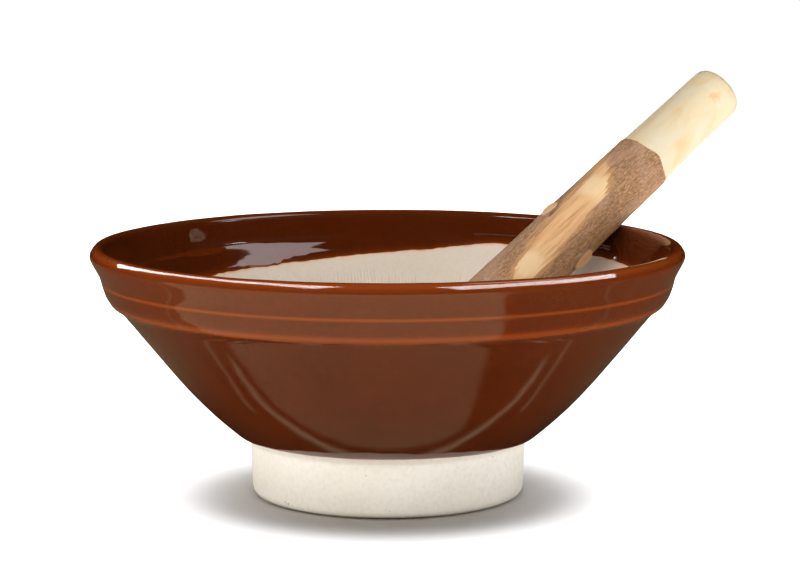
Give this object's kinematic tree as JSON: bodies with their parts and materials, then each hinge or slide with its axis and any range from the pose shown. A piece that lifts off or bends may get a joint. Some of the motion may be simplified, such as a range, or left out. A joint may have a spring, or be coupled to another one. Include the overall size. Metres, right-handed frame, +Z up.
{
  "type": "mortar and pestle",
  "caption": "Wide conical stoneware grinding mortar, glazed outside and unglazed inside, on a pale foot ring, with a part-barked branch-wood pestle that leans on the rim and lifts out.",
  "frame": {"origin": "on the mortar's axis, on the surface that its foot ring stands on", "axes": "+Z up along the mortar's axis; the pestle's handle leans towards +X and +Y, 31.9 degrees round from +X"},
  "size_m": [0.3514, 0.31, 0.2153],
  "materials": {
    "stoneware": "unglazed, fine-grained",
    "brown_glaze": "glossy iron-brown",
    "peeled_wood": "smooth, bare",
    "inner_bark": "fibrous",
    "outer_bark": "rough",
    "cut_branch": "knife-cut"
  },
  "bodies": {
    "mortar": {"mortar_body": "stoneware", "glaze_coat": "brown_glaze"},
    "pestle": {"pestle_wood": "peeled_wood", "inner_bark": "inner_bark", "outer_bark": "outer_bark", "branch_stubs": "cut_branch"}
  },
  "joints": [
    {"name": "pestle_lift", "type": "slide", "parent": "mortar", "child": "pestle", "axis": [0, 0, 1], "range_m": [0, 0.14]}
  ]
}
